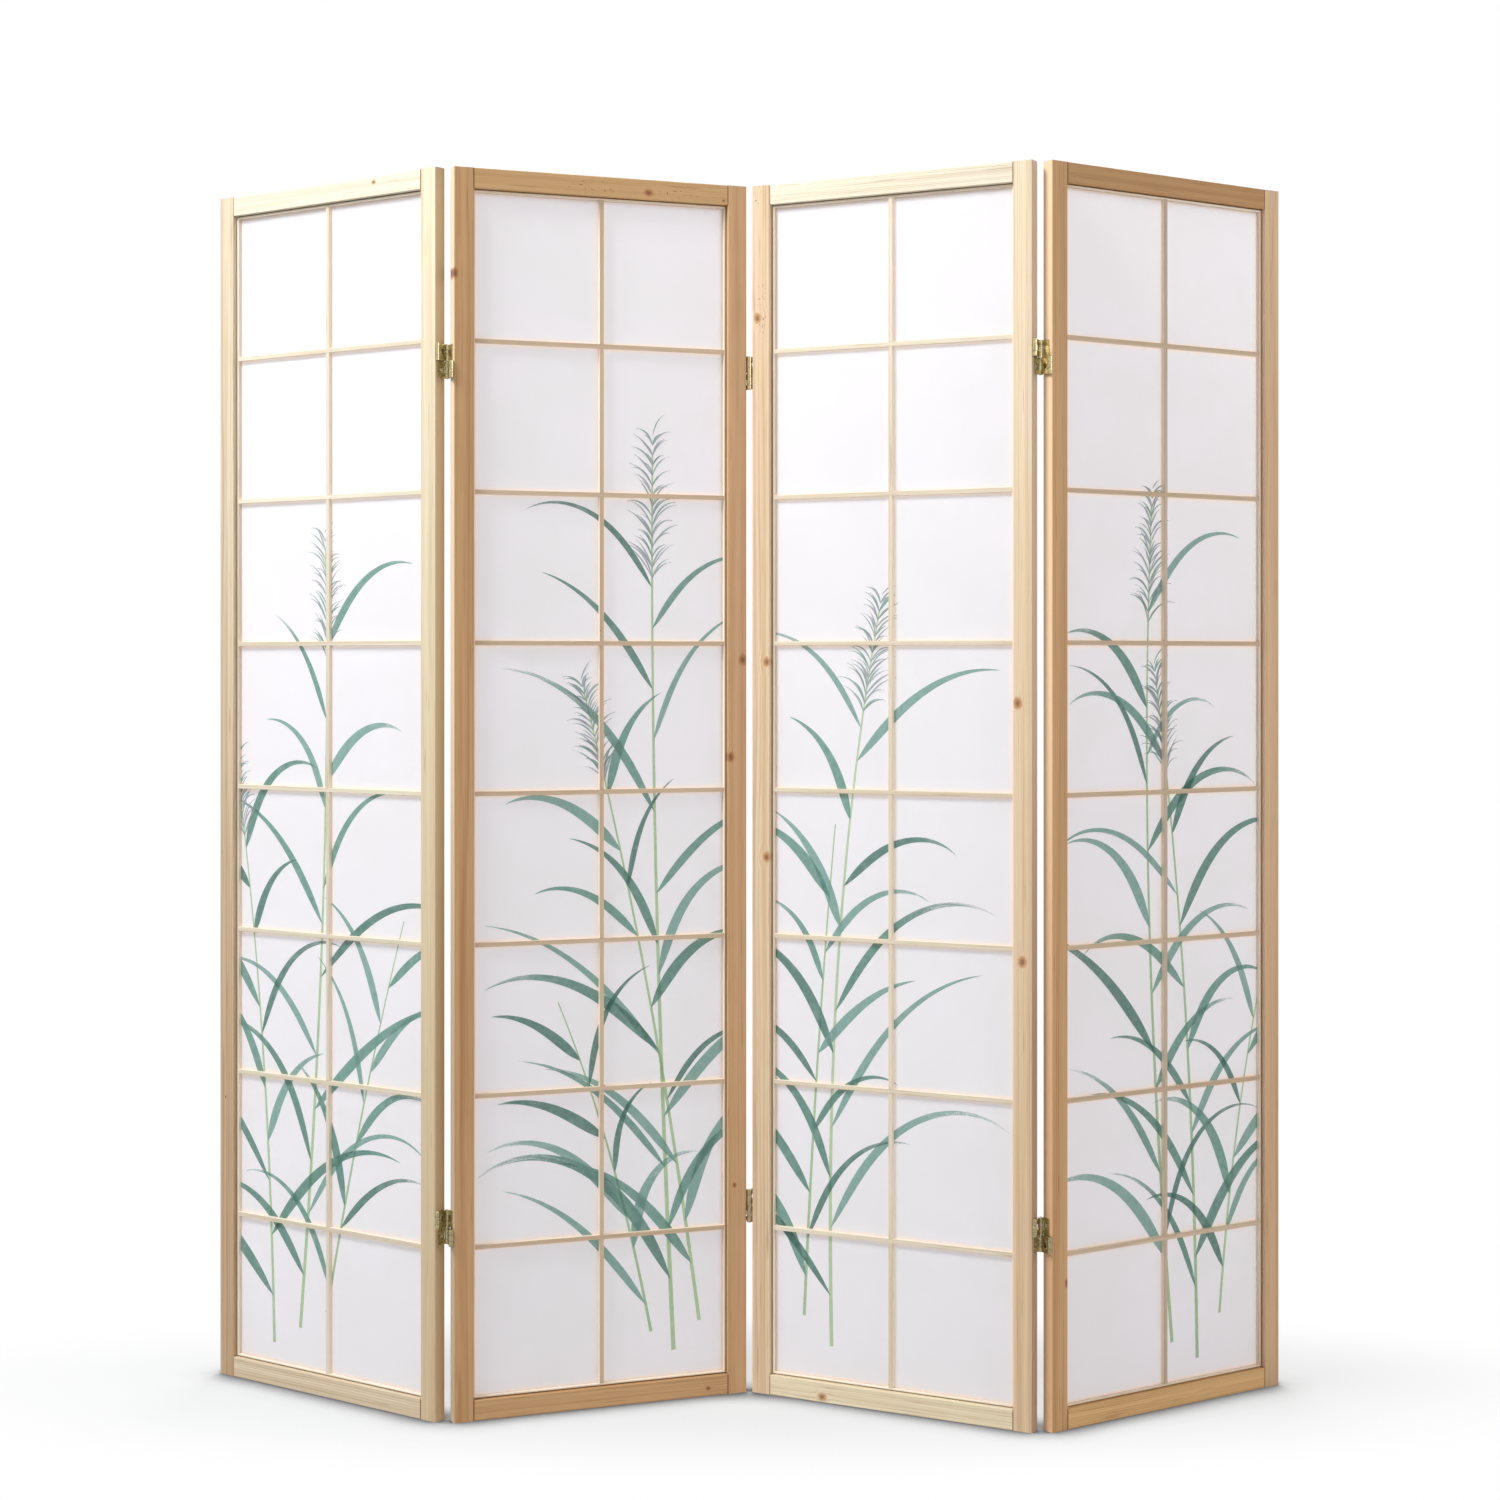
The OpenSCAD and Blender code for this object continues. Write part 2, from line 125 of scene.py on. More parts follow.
walls = bpy.data.worlds.new("white_walls")
walls.use_nodes = True
bpy.context.scene.world = walls
tree = walls.node_tree
tree.nodes.clear()
rays = add_node(tree, "LightPath").outputs
seen = reckon(tree, "MAXIMUM", rays["Is Glossy Ray"], rays["Is Transmission Ray"])
seen = reckon(tree, "MAXIMUM", rays["Is Camera Ray"], seen)
dim = add_node(tree, "Background", {"Color": (1, 0.99, 0.975, 1), "Strength": 0.27})
white = add_node(tree, "Background", {"Color": (1, 1, 1, 1), "Strength": 1.0})
shown = add_node(tree, "MixShader", {0: seen, 1: dim.outputs[0], 2: white.outputs[0]})
tree.links.new(shown.outputs[0], add_node(tree, "OutputWorld").inputs["Surface"])


def soft_lamp(name, place, target, width, watts, colour):
    """A square studio lamp with a diffuser, turned towards a point."""
    light = bpy.data.lights.new(name, "AREA")
    light.shape = "SQUARE"
    light.size = width
    light.energy = watts
    light.color = colour
    lamp = bpy.data.objects.new(name, light)
    lamp.location = place
    lamp.rotation_euler = (Vector(target) - Vector(place)).to_track_quat("-Z", "Y").to_euler()
    bpy.context.scene.collection.objects.link(lamp)


soft_lamp("lamp_left", (-2.3, -1.4, 3.9), (0, 0, 1.1), 1.2, 148, (0.97, 0.99, 1))
soft_lamp("lamp_behind", (0.25, 2.2, 3.3), (0.3, 0, 1.1), 1.8, 62, (1, 0.975, 0.965))
soft_lamp("lamp_right", (3.4, -2.2, 1.8), (0, 0, 0.9), 2.2, 45, (1, 0.96, 0.92))


# Stiles and rails: planed spruce, 19 mm thick, with eased edges, small knots and a clear satin
# finish. The rails lie between the stiles and are dowelled and glued to them. Each piece has a tone
# of its own, with painted shade in it: panels 2 and 4, which turn away from the left lamp, are
# given deeper, browner tones as painted shade.
panel_w, panel_h, face_w = 0.445, 1.780, 0.029
# Where each panel's lower left front corner stands on the floor, and how far it is turned
standing = {1: (-0.7961804, 0.1547253, -36.5), 2: (-0.4120205, -0.1134522, 21.5),
            3: (0.0104277, 0.0491264, -28.5), 4: (0.4294344, -0.1617454, 34.5)}
# Tones by piece: each piece's own tone, made deeper and browner on panels 2 and 4 as painted shade
tone_with_painted_shade = {
    "panel_1_left_stile": (0.70, 0.55, 0.37), "panel_1_right_stile": (0.79, 0.67, 0.46),
    "panel_1_top_rail": (0.83, 0.78, 0.63), "panel_1_bottom_rail": (0.79, 0.66, 0.48),
    "panel_2_left_stile": (0.61, 0.36, 0.17), "panel_2_right_stile": (0.66, 0.41, 0.21),
    "panel_2_top_rail": (0.66, 0.41, 0.19), "panel_2_bottom_rail": (0.60, 0.36, 0.17),
    "panel_3_left_stile": (0.80, 0.62, 0.41), "panel_3_right_stile": (0.83, 0.64, 0.43),
    "panel_3_top_rail": (0.86, 0.80, 0.63), "panel_3_bottom_rail": (0.90, 0.79, 0.57),
    "panel_4_left_stile": (0.68, 0.40, 0.18), "panel_4_right_stile": (0.77, 0.54, 0.33),
    "panel_4_top_rail": (0.54, 0.30, 0.12), "panel_4_bottom_rail": (0.83, 0.53, 0.24),
}
# Knots by piece: place across and along the grain, from the panel's lower left corner, and radius
knots = {
    "panel_1_top_rail": [(1.771, 0.323, 0.0027)],
    "panel_1_left_stile": [(0.012, 0.420, 0.0015)],
    "panel_2_left_stile": [(0.001, 1.629, 0.0045)],
    "panel_2_top_rail": [(1.761, 0.292, 0.0040), (1.757, 0.409, 0.0016)],
    "panel_2_right_stile": [(0.439, 1.081, 0.0052), (0.420, 0.938, 0.0046), (0.426, 0.307, 0.0024)],
    "panel_2_bottom_rail": [(0.011, 0.385, 0.0022)],
    "panel_3_left_stile": [(0.009, 1.585, 0.0046), (0.024, 1.078, 0.0044), (0.024, 0.791, 0.0046)],
    "panel_3_right_stile": [(0.423, 1.020, 0.0052), (0.430, 0.658, 0.0050)],
    "panel_3_bottom_rail": [(0.008, 0.116, 0.0044)],
    "panel_4_left_stile": [(0.028, 0.206, 0.0040)],
}
# Stiles painted darker towards the foot and paler towards the top, as painted shade and painted
# light: their tone at the foot and at the top, against the middle
painted_height_shade = {
    "panel_1_left_stile": ((0.84, 0.75, 0.66), (1.06, 1.15, 1.25)),
    "panel_1_right_stile": ((0.90, 0.84, 0.78), (1.02, 1.07, 1.12)),
    "panel_3_right_stile": ((0.95, 0.90, 0.88), (1.06, 1.12, 1.18)),
    "panel_4_right_stile": ((0.90, 0.86, 0.83), (1.08, 1.10, 1.14)),
}
# Stiles whose outer end face has painted light and shade in its tone: paler as painted light on the
# left ends of panels 2 and 4, which face the left lamp, and darker as painted shade on the right
# ends of panels 1 and 3, which face away: its tone in the lower and in the upper part
painted_end_light_and_shade = {
    "panel_1_right_stile": ((0.575, 0.39, 0.215), (0.64, 0.47, 0.28)),
    "panel_2_left_stile": ((0.65, 0.51, 0.325), (0.88, 0.70, 0.47)),
    "panel_3_right_stile": ((0.45, 0.32, 0.205), (0.60, 0.47, 0.36)),
    "panel_4_left_stile": ((0.80, 0.52, 0.30), (0.97, 0.72, 0.47)),
}
# Places with small dark flecks: across and along the grain, and how far they reach along it
flecked = {
    "panel_2_top_rail": [(1.764, 0.200, 0.060), (1.762, 0.330, 0.050)],
    "panel_3_left_stile": [(0.016, 1.598, 0.052), (0.012, 1.765, 0.020)],
    "panel_2_lattice_bars": [(0.2225, 1.720, 0.030), (0.2225, 1.583, 0.012), (0.2225, 1.520, 0.012)],
}


def panel_place(tree, panel):
    """A point's place in a panel's own frame: along its width, through its thickness, and up."""
    x, y, turn = standing[panel]
    return add_node(tree, "Mapping", {"Vector": add_node(tree, "TexCoord").outputs["Object"],
                                      "Location": (x, y, 0), "Rotation": (0, 0, math.radians(turn))},
                    vector_type="TEXTURE").outputs[0]


def vector(tree, x, y, z):
    """Joins three numbers or results into a vector."""
    return add_node(tree, "CombineXYZ", {0: x, 1: y, 2: z}).outputs[0]


def upright_grain(tree, panel):
    """A point's place across the face, through it and along the grain, where that runs up."""
    return panel_place(tree, panel)


def level_grain(tree, panel):
    """The same where the grain runs along a rail."""
    x, y, z = add_node(tree, "SeparateXYZ", {0: panel_place(tree, panel)}).outputs
    return vector(tree, z, y, x)


def distance_from(tree, across, along, point, stretch=1.0):
    """How far a point on the face lies from another one, with distances along the grain shortened."""
    shortened = reckon(tree, "DIVIDE", reckon(tree, "SUBTRACT", along, point[1]), stretch)
    offset = vector(tree, reckon(tree, "SUBTRACT", across, point[0]), 0.0, shortened)
    return add_node(tree, "VectorMath", {0: offset}, operation="LENGTH").outputs["Value"]


def stretched_noise(tree, board, across, along, detail=2.0):
    """Noise that is drawn out along the grain. Sizes are in patches per metre."""
    drawn = add_node(tree, "VectorMath", {0: board, 1: (across, across, along)}, operation="MULTIPLY")
    noise = {"Vector": drawn.outputs[0], "Scale": 1.0, "Detail": detail}
    return add_node(tree, "TexNoise", noise).outputs[0]


def tinted(tone, *shares):
    """A tone with each of its channels times a share of its own."""
    return tuple(channel * share for channel, share in zip(tone, shares))


def knot_marks(tree, name, board, across, along):
    """Where the fibres lie once they have bent round a piece's knots, and how far a point is in the
    brown round a knot and in its dark core."""
    bent, brown, core = across, 0.0, 0.0
    for knot_across, knot_along, radius in knots.get(name, ()):
        away = distance_from(tree, across, along, (knot_across, knot_along), stretch=1.3)
        wobble = reckon(tree, "SUBTRACT", stretched_noise(tree, board, 260, 260), 0.5)
        away = reckon(tree, "MULTIPLY_ADD", wobble, radius * 0.7, away)
        pull = reckon(tree, "MULTIPLY", ramp(tree, away, radius * 0.4, radius * 4.5, 0.82, 0),
                      reckon(tree, "SUBTRACT", knot_across, across))
        bent = reckon(tree, "ADD", bent, pull)
        brown = reckon(tree, "MAXIMUM", brown, ramp(tree, away, radius * 0.8, radius * 1.7, 1, 0))
        core = reckon(tree, "MAXIMUM", core, ramp(tree, away, radius * 0.35, radius * 0.85, 1, 0))
    return bent, brown, core


def late_wood(tree, chance, board, across, depth, ring, wander):
    """How dark a point is with the late wood of its yearly ring. The pith of the log lies at some
    chance place outside the piece, and the rings wander and differ in width."""
    slow = reckon(tree, "SUBTRACT", stretched_noise(tree, board, 14, 0.9), 0.5)
    drift = reckon(tree, "MULTIPLY_ADD", slow, wander * 2, across)
    pith_across = chance.uniform(-0.05, 0.07)
    pith_deep = chance.choice((-1, 1)) * chance.uniform(0.045, 0.09)
    from_pith = vector(tree, reckon(tree, "SUBTRACT", drift, pith_across),
                       reckon(tree, "SUBTRACT", depth, pith_deep), 0.0)
    radius = add_node(tree, "VectorMath", {0: from_pith}, operation="LENGTH").outputs["Value"]
    years = reckon(tree, "MULTIPLY_ADD", stretched_noise(tree, board, 30, 1.2), 2.4,
                   reckon(tree, "DIVIDE", radius, ring))
    years = reckon(tree, "MULTIPLY_ADD", stretched_noise(tree, board, 150, 3), 1.0, years)
    season = reckon(tree, "FRACT", years)
    late = reckon(tree, "MULTIPLY", ramp(tree, season, 0.25, 0.9), ramp(tree, season, 0.9, 1.0, 1, 0))
    strength = ramp(tree, stretched_noise(tree, board, 190, 0.8), 0.36, 0.64, 0.3, 1.5)
    return reckon(tree, "MULTIPLY", late, strength)


fleck_radius = 0.012


def spruce(name, panel, grain_of, tone, ring=0.0023, wander=0.0035, ends=None, sides=None):
    """Sawn spruce with yearly rings, fibres, knots and resin flecks, for a piece of this name.
    Its ends, where they are given, have a dark joint line at the seam, widened with painted shade.
    sides is the tone painted on a strip's sides as painted light, and how far back its front face lies."""
    chance = random.Random(name)
    material, tree, end = new_material("wood_of_" + name)
    grain = grain_of(tree, panel)
    across, depth, along = add_node(tree, "SeparateXYZ", {0: grain}).outputs
    cut = (chance.uniform(1, 6), chance.uniform(1, 6), chance.uniform(1, 6))
    board = add_node(tree, "VectorMath", {0: grain, 1: cut}, operation="ADD").outputs[0]
    early_tone, late_tone = tinted(tone, 1.09, 1.10, 1.12), tinted(tone, 0.74, 0.62, 0.50)
    streak_tone, seam_and_shade_tone = tinted(tone, 0.50, 0.36, 0.26), tinted(tone, 0.24, 0.16, 0.10)
    fleck_tone = tinted(tone, 0.22, 0.14, 0.10)
    brown_tone, core_tone = tinted(tone, 0.68, 0.42, 0.24), tinted(tone, 0.30, 0.17, 0.11)

    bent, knot_brown, knot_core = knot_marks(tree, name, board, across, along)
    late = late_wood(tree, chance, board, bent, depth, ring, wander)
    bands = ramp(tree, stretched_noise(tree, board, 110, 1.6, 3), 0.32, 0.72, 0, 0.45)
    fibre = stretched_noise(tree, board, 1400, 16, 3)
    streak = ramp(tree, stretched_noise(tree, board, 420, 11, 1), 0.66, 0.76, 0, 0.45)
    shade = reckon(tree, "ADD", reckon(tree, "MULTIPLY", late, 0.36), bands)
    shade = reckon(tree, "ADD", shade, ramp(tree, fibre, 0.3, 0.7, -0.1, 0.12))
    colour = blend_colours(tree, shade, early_tone, late_tone)
    colour = blend_colours(tree, streak, colour, streak_tone)
    # Painted shade towards the foot and painted light towards the top of these stiles
    if name in painted_height_shade:
        height_shade = blend_colours(tree, ramp(tree, along, 0.1, 1.7), *painted_height_shade[name])
        colour = blend_colours(tree, 1.0, colour, height_shade, "MULTIPLY")
    # Outer end faces painted paler as painted light where they face the left lamp, and darker as painted
    # shade where they face away
    if name in painted_end_light_and_shade:
        from_edge = reckon(tree, "MINIMUM", across, reckon(tree, "SUBTRACT", panel_w, across))
        end_face_shading = blend_colours(tree, ramp(tree, along, 0.45, 1.1), *painted_end_light_and_shade[name])
        colour = blend_colours(tree, ramp(tree, from_edge, 0.0003, 0.0014, 0.9, 0), colour, end_face_shading)
    if name in knots:
        knot_tone = blend_colours(tree, knot_core, brown_tone, core_tone)
        colour = blend_colours(tree, reckon(tree, "MULTIPLY", knot_brown, 0.9), colour, knot_tone)
    for fleck_across, fleck_along, reach in flecked.get(name, ()):
        away = distance_from(tree, across, along, (fleck_across, fleck_along), reach / fleck_radius)
        near = ramp(tree, away, fleck_radius / 2, fleck_radius, 1, 0)
        speck = ramp(tree, stretched_noise(tree, board, 520, 240, 1), 0.66, 0.72)
        colour = blend_colours(tree, reckon(tree, "MULTIPLY", near, speck), colour, fleck_tone)
    # A strip's sides painted paler, as painted light from the glowing paper beside them
    if sides:
        painted_side_light, front = sides
        beside = ramp(tree, depth, front + 0.0002, front + 0.0010, 0, 0.85)
        colour = blend_colours(tree, beside, colour, painted_side_light)
    # A dark joint line where a rail meets the stiles, widened with painted shade of the groove between
    # them
    if ends:
        from_end = reckon(tree, "MINIMUM", reckon(tree, "SUBTRACT", along, ends[0]),
                          reckon(tree, "SUBTRACT", ends[1], along))
        colour = blend_colours(tree, ramp(tree, from_end, 0.0005, 0.0017, 0.9, 0), colour, seam_and_shade_tone)
    relief = reckon(tree, "MULTIPLY_ADD", fibre, 0.6, reckon(tree, "MULTIPLY", late, 0.1))
    bump = add_node(tree, "Bump", {"Height": relief, "Strength": 0.35, "Distance": 0.0003})
    surface = add_node(tree, "BsdfPrincipled", {
        "Base Color": colour, "Roughness": ramp(tree, fibre, 0.3, 0.7, 0.40, 0.56),
        "Normal": bump.outputs[0], "Specular IOR Level": 0.42,
        "Coat Weight": 0.08, "Coat Roughness": 0.32})
    tree.links.new(surface.outputs[0], end.inputs["Surface"])
    return material


def finish_node(name, material):
    """Gives a solid of the frame its material."""
    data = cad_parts[name].data
    data.materials.clear()
    data.materials.append(material)


rail_ends = (face_w, panel_w - face_w)
for panel in standing:
    for side in ("left_stile", "right_stile"):
        name = f"panel_{panel}_{side}"
        finish_node(name, spruce(name, panel, upright_grain, tone_with_painted_shade[name]))
    for side in ("top_rail", "bottom_rail"):
        name = f"panel_{panel}_{side}"
        finish_node(name, spruce(name, panel, level_grain, tone_with_painted_shade[name], ends=rail_ends))

# The lattice: straight-grained strips planed to 6 mm. Their sides are painted paler as painted light
# from the glowing paper beside them, and on panels 2 and 4 the strips are painted darker as painted
# shade. Still paler thin strips border it, a little clear of the frame, and one upright and seven
# level bars are halved into each other.
border_w, shadow_gap, bar_w, rows = 0.0025, 0.0015, 0.0065, 8
field_edge = face_w + shadow_gap + border_w
row_pitch = (panel_h - 2 * field_edge + bar_w) / rows
# Lattice tones by panel, darker and browner on panels 2 and 4 as painted shade
bar_tone_with_painted_shade = {1: (0.84, 0.77, 0.62), 2: (0.69, 0.54, 0.39), 3: (0.84, 0.75, 0.59), 4: (0.69, 0.54, 0.39)}
border_tone = (0.95, 0.87, 0.74)
bar_front, painted_bar_side_light = 0.0065, (0.96, 0.87, 0.74)


def strip_grain(first, pitch, width):
    """Grain of strips that cross: level ones from the height first up, a pitch apart, and upright
    ones. Each strip is cut from another place in the board."""
    def grain_of(tree, panel):
        x, y, z = add_node(tree, "SeparateXYZ", {0: panel_place(tree, panel)}).outputs
        count = reckon(tree, "DIVIDE", reckon(tree, "SUBTRACT", z, first), pitch)
        nearest = reckon(tree, "ROUND", count)
        away = reckon(tree, "ABSOLUTE", reckon(tree, "SUBTRACT", count, nearest))
        level = reckon(tree, "LESS_THAN", away, (width / 2 + 0.0001) / pitch)
        along_level = vector(tree, z, y, reckon(tree, "MULTIPLY_ADD", nearest, 0.731, x))
        side = reckon(tree, "ROUND", reckon(tree, "MULTIPLY", x, 5))
        along_upright = vector(tree, x, y, reckon(tree, "MULTIPLY_ADD", side, 0.613, z))
        return add_node(tree, "Mix", {0: level, 4: along_upright, 5: along_level},
                        data_type="VECTOR").outputs[1]
    return grain_of


bar_grain = strip_grain(field_edge + row_pitch - bar_w / 2, row_pitch, bar_w)
border_middle = field_edge - border_w / 2
border_grain = strip_grain(border_middle, panel_h - 2 * border_middle, border_w)
for panel, tone in bar_tone_with_painted_shade.items():
    name = f"panel_{panel}_lattice_bars"
    finish_node(name, spruce(name, panel, bar_grain, tone, ring=0.0014, wander=0.001,
                             sides=(painted_bar_side_light, bar_front)))
    name = f"panel_{panel}_lattice_border"
    finish_node(name, spruce(name, panel, border_grain, border_tone, ring=0.0014, wander=0.001))

# Beads behind: 8 mm strips of the frame's wood, pinned into the rebate at the back of the opening.
# They hold the edges of the paper.
bead_w, rebate_lap = 0.008, 0.004
bead_middle = face_w - rebate_lap + bead_w / 2
bead_grain = strip_grain(bead_middle, panel_h - 2 * bead_middle, bead_w)
for panel in standing:
    name, tone = f"panel_{panel}_back_beads", tone_with_painted_shade[f"panel_{panel}_left_stile"]
    finish_node(name, spruce(name, panel, bead_grain, tone, ring=0.0016, wander=0.001))

# Dowels: bought hardwood pegs, harder and browner than the frame, two at each corner. They are
# glued into the stiles and rails, and nothing of them shows.
dowel_tone = (0.55, 0.38, 0.22)
for panel in standing:
    name = f"panel_{panel}_dowels"
    finish_node(name, spruce(name, panel, level_grain, dowel_tone, ring=0.0009, wander=0.0005))

# The paper: one fibrous white sheet to a panel, with its edges in the rebate and the lattice glued
# to its front. Light comes through it, and it cockles a very little between the bars. Beside them
# its white is painted warmer, as painted light bounced from the wood.
column_pitch = (panel_w - 2 * field_edge + bar_w) / 2
glow_reach = 0.006
paper_white, paper_cloud = (0.93, 0.918, 0.938), (0.92, 0.910, 0.922)
paper_fibre, painted_bounce_glow = (0.95, 0.945, 0.945), (0.99, 0.91, 0.855)


def beside_bars(tree, panel):
    """How near the sheet is to a strip of the lattice: 1 against it and 0 further off."""
    across, _, up = add_node(tree, "SeparateXYZ", {0: panel_place(tree, panel)}).outputs
    first = field_edge - bar_w / 2
    from_upright, from_level = (
        reckon(tree, "PINGPONG", reckon(tree, "SUBTRACT", at, first), pitch / 2)
        for at, pitch in ((across, column_pitch), (up, row_pitch)))
    nearest = reckon(tree, "MINIMUM", from_upright, from_level)
    return ramp(tree, nearest, bar_w / 2, bar_w / 2 + glow_reach, 1, 0)


for panel in standing:
    screen_paper, tree, end = new_material(f"screen_paper_{panel}")
    place = add_node(tree, "TexCoord").outputs["Object"]
    fibres = add_node(tree, "TexNoise", {"Vector": place, "Scale": 420, "Detail": 5, "Roughness": 0.65,
                                         "Distortion": 1.6}).outputs[0]
    cloud = add_node(tree, "TexNoise", {"Vector": place, "Scale": 9, "Detail": 2}).outputs[0]
    cockle = add_node(tree, "TexNoise", {"Vector": place, "Scale": 4, "Detail": 1}).outputs[0]
    sheet = blend_colours(tree, ramp(tree, cloud, 0.3, 0.7), paper_white, paper_cloud)
    sheet = blend_colours(tree, ramp(tree, fibres, 0.60, 0.72, 0, 0.25), sheet, paper_fibre)
    # Painted light: warm light bounced from the wood, painted onto the sheet beside the lattice
    sheet = blend_colours(tree, beside_bars(tree, panel), sheet, painted_bounce_glow)
    relief = reckon(tree, "MULTIPLY_ADD", cockle, 3, reckon(tree, "MULTIPLY", fibres, 0.08))
    bump = add_node(tree, "Bump", {"Height": relief, "Strength": 0.3, "Distance": 0.0008})
    face = add_node(tree, "BsdfPrincipled", {
        "Base Color": sheet, "Roughness": 0.85, "Specular IOR Level": 0.2, "Normal": bump.outputs[0]})
    through = add_node(tree, "BsdfTranslucent", {"Color": sheet, "Normal": bump.outputs[0]})
    lit = add_node(tree, "MixShader", {0: 0.55, 1: face.outputs[0], 2: through.outputs[0]})
    tree.links.new(lit.outputs[0], end.inputs["Surface"])
    finish_node(f"panel_{panel}_paper", screen_paper)

# The print on the paper: brush-drawn reeds in a thin colour wash, with slender stems, long arching
# blades and feathery heads. It is printed on the front of each sheet before that is glued on.
paper_front = 0.0125
shown_across = (field_edge, panel_w - field_edge)
shown_up = (field_edge, panel_h - field_edge)
blade_inks = ((0.105, 0.30, 0.235), (0.16, 0.38, 0.31), (0.075, 0.24, 0.19), (0.24, 0.46, 0.40))
stem_inks = ((0.50, 0.70, 0.36), (0.44, 0.65, 0.34), (0.58, 0.74, 0.44))
feather_inks = ((0.36, 0.42, 0.44), (0.30, 0.46, 0.41), (0.46, 0.48, 0.53))

reed_ink, tree, end = new_material("reed_ink")
wash = add_node(tree, "Attribute", attribute_name="wash")
stroke_place = add_node(tree, "UVMap", uv_map="stroke").outputs[0]
place = add_node(tree, "TexCoord").outputs["Object"]
drawn = add_node(tree, "VectorMath", {0: stroke_place, 1: (14, 900, 1)}, operation="MULTIPLY").outputs[0]
hairs = add_node(tree, "TexNoise", {"Vector": drawn, "Scale": 1.0, "Detail": 2}).outputs[0]
pool = add_node(tree, "TexNoise", {"Vector": place, "Scale": 45, "Detail": 3}).outputs[0]
tooth = add_node(tree, "TexNoise", {"Vector": place, "Scale": 700, "Detail": 2}).outputs[0]
ink_left = wash.outputs["Alpha"]
dry = reckon(tree, "ADD", reckon(tree, "MULTIPLY", hairs, 0.75), reckon(tree, "MULTIPLY", tooth, 0.35))
covered = reckon(tree, "ADD", ink_left, reckon(tree, "SUBTRACT", 0.62, dry))
covered = ramp(tree, covered, 0.05, 0.55, 0.0, 0.96)
covered = reckon(tree, "MULTIPLY", covered, ramp(tree, pool, 0.25, 0.7, 0.74, 1.0))
watered = ramp(tree, pool, 0.35, 0.75, 0.0, 0.4)
ink_colour = blend_colours(tree, watered, wash.outputs["Color"], (0.52, 0.66, 0.60))
ink = add_node(tree, "BsdfPrincipled", {
    "Base Color": ink_colour, "Roughness": 0.8, "Specular IOR Level": 0.2})
shine_through = add_node(tree, "BsdfTranslucent", {"Color": ink_colour})
inked = add_node(tree, "MixShader", {0: 0.35, 1: ink.outputs[0], 2: shine_through.outputs[0]})
clear = add_node(tree, "BsdfTransparent")
printed = add_node(tree, "MixShader", {0: covered, 1: clear.outputs[0], 2: inked.outputs[0]})
tree.links.new(printed.outputs[0], end.inputs["Surface"])


def bent_line(start, heading, bend, length, steps, late_bend=1.6):
    """Points and headings along a line that leans over as it goes. A heading is measured from
    upright, to the right."""
    at, points = Vector(start), []
    for step in range(steps + 1):
        share = step / steps
        angle = heading + bend * share ** late_bend
        points.append((at.copy(), angle))
        at = at + Vector((math.sin(angle), math.cos(angle))) * length / steps
    return points


# How far the marks of the brush's hairs run on from one step of a stroke to the next
hair_run = 0.02


def brush_stroke(drawing, points, width, profile, colour, load, lift):
    """Lays one stroke along its points, lifted off the paper by a hair. profile gives its width
    along it, and load is how much ink the brush starts and ends with."""
    steps = len(points) - 1
    laid = bmesh.ops.create_grid(drawing, x_segments=steps, y_segments=3, size=1)["verts"]
    wash_layer = drawing.verts.layers.float_color["wash"]
    stroke_layer = drawing.verts.layers.float_vector["stroke_uv"]
    shift = random_brush.uniform(0, 40)
    side_swell = random_brush.uniform(-0.12, 0.12)
    for vert in laid:
        share, across = (vert.co.x + 1) / 2, vert.co.y
        point, angle = points[round(share * steps)]
        half = width / 2 * profile(share)
        aside = half * (across + side_swell * (1 - across * across))
        out = Vector((math.cos(angle), -math.sin(angle))) * aside
        vert.co = (point.x + out.x, paper_front - lift, point.y + out.y)
        left_over = load[0] + (load[1] - load[0]) * share ** 1.4
        vert[wash_layer] = (*colour, left_over)
        vert[stroke_layer] = (shift + share * steps * hair_run, across * half, 0)


def blade_shape(share):
    """Full soon after its start, and then drawn out to a point."""
    return 1.42 * (1 - (1 - share) ** 7) * (1 - share) ** 0.78 + 0.02


def stem_shape(share):
    """Thinner towards the head."""
    return 1 - 0.62 * share


def feather_shape(share):
    """Fullest in the middle."""
    return 0.35 + math.sin(math.pi * min(share * 1.15, 1)) * 0.75


# Steps in each kind of stroke, plumes in a head, and where on the stem the blades and head begin
stem_steps, blade_steps, plume_steps, plumes = 90, 30, 9, 54
lowest_blade, blades_above, head_share = 0.05, 0.83, 0.16
# How far off the paper each kind of stroke lies, and each next blade or plume beyond the one before
stem_lift, blade_lift, plume_lift = 0.00004, 0.00012, 0.0003
next_blade, next_plume = 0.00001, 0.000002


